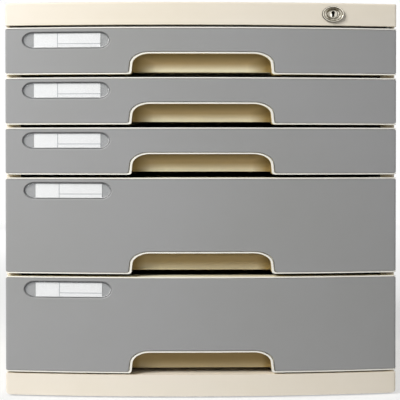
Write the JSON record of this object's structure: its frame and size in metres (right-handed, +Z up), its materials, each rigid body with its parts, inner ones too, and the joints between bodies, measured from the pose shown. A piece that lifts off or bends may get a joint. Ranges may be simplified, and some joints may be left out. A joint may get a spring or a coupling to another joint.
{
  "type": "desktop file drawer",
  "caption": "Free-standing desktop drawer cabinet with shallow and deep trays behind bowed fronts, finger-pull notches, label windows and a central lock.",
  "frame": {"origin": "centre of the footprint's bounding box, on the surface that the feet stand on", "axes": "+Z up, +Y from the drawer fronts to the back, +X to the right as seen from the front"},
  "size_m": [0.3, 0.345, 0.3005],
  "materials": {
    "cream_plastic": "satin moulded plastic, ivory",
    "grey_plastic": "fine matte moulded plastic, mid grey",
    "clear_plastic": "clear glossy lens",
    "white_card": "uncoated white card with ruled lines",
    "polished_nickel": "polished nickel plate",
    "zinc_plated_steel": "zinc-plated steel",
    "black_rubber": "moulded rubber"
  },
  "bodies": {
    "cabinet": {"back_panel": "cream_plastic", "back_screw_1": "zinc_plated_steel", "back_screw_2": "zinc_plated_steel", "back_screw_3": "zinc_plated_steel", "back_screw_4": "zinc_plated_steel", "base": "cream_plastic", "base_screw_1": "zinc_plated_steel", "base_screw_2": "zinc_plated_steel", "base_screw_3": "zinc_plated_steel", "base_screw_4": "zinc_plated_steel", "front_left_foot": "black_rubber", "front_right_foot": "black_rubber", "left_side_panel": "cream_plastic", "lock_barrel": "polished_nickel", "lock_bezel": "polished_nickel", "lock_nut": "polished_nickel", "rear_left_foot": "black_rubber", "rear_right_foot": "black_rubber", "right_side_panel": "cream_plastic", "top_cover": "cream_plastic"},
    "drawer_1": {"drawer_1_tray": "cream_plastic", "drawer_1_front": "cream_plastic", "drawer_1_face": "grey_plastic", "drawer_1_label_lens": "clear_plastic", "drawer_1_label_card": "white_card", "drawer_1_catch": "cream_plastic"},
    "drawer_2": {"drawer_2_tray": "cream_plastic", "drawer_2_front": "cream_plastic", "drawer_2_face": "grey_plastic", "drawer_2_label_lens": "clear_plastic", "drawer_2_label_card": "white_card", "drawer_2_catch": "cream_plastic"},
    "drawer_3": {"drawer_3_tray": "cream_plastic", "drawer_3_front": "cream_plastic", "drawer_3_face": "grey_plastic", "drawer_3_label_lens": "clear_plastic", "drawer_3_label_card": "white_card", "drawer_3_catch": "cream_plastic"},
    "drawer_4": {"drawer_4_tray": "cream_plastic", "drawer_4_front": "cream_plastic", "drawer_4_face": "grey_plastic", "drawer_4_label_lens": "clear_plastic", "drawer_4_label_card": "white_card", "drawer_4_catch": "cream_plastic"},
    "drawer_5": {"drawer_5_tray": "cream_plastic", "drawer_5_front": "cream_plastic", "drawer_5_face": "grey_plastic", "drawer_5_label_lens": "clear_plastic", "drawer_5_label_card": "white_card", "drawer_5_catch": "cream_plastic"},
    "lock_plug": {"lock_plug": "polished_nickel", "lock_crank": "zinc_plated_steel", "crank_screw": "zinc_plated_steel"},
    "lock_bar": {"lock_bar": "zinc_plated_steel", "lock_bar_arm": "zinc_plated_steel", "lock_hook_1": "cream_plastic", "lock_hook_2": "cream_plastic", "lock_hook_3": "cream_plastic", "lock_hook_4": "cream_plastic", "lock_hook_5": "cream_plastic"}
  },
  "joints": [
    {"name": "drawer_1_slide", "type": "slide", "parent": "cabinet", "child": "drawer_1", "axis": [0, -1, 0], "range_m": [0, 0.25]},
    {"name": "drawer_2_slide", "type": "slide", "parent": "cabinet", "child": "drawer_2", "axis": [0, -1, 0], "range_m": [0, 0.25]},
    {"name": "drawer_3_slide", "type": "slide", "parent": "cabinet", "child": "drawer_3", "axis": [0, -1, 0], "range_m": [0, 0.25]},
    {"name": "drawer_4_slide", "type": "slide", "parent": "cabinet", "child": "drawer_4", "axis": [0, -1, 0], "range_m": [0, 0.25]},
    {"name": "drawer_5_slide", "type": "slide", "parent": "cabinet", "child": "drawer_5", "axis": [0, -1, 0], "range_m": [0, 0.25]},
    {"name": "lock_turn", "type": "hinge", "parent": "cabinet", "child": "lock_plug", "pos_m": [0.1, -0.16673, 0.29185], "axis": [-0.1147, 0.9934, 0], "range_deg": [0, 90]},
    {"name": "lock_bar_slide", "type": "slide", "parent": "cabinet", "child": "lock_bar", "axis": [0, 0, 1], "range_m": [0, 0.00453]}
  ],
  "couplings": [
    {"joint": "lock_turn", "follows": "lock_bar_slide", "rad_per_m": 347.1}
  ]
}
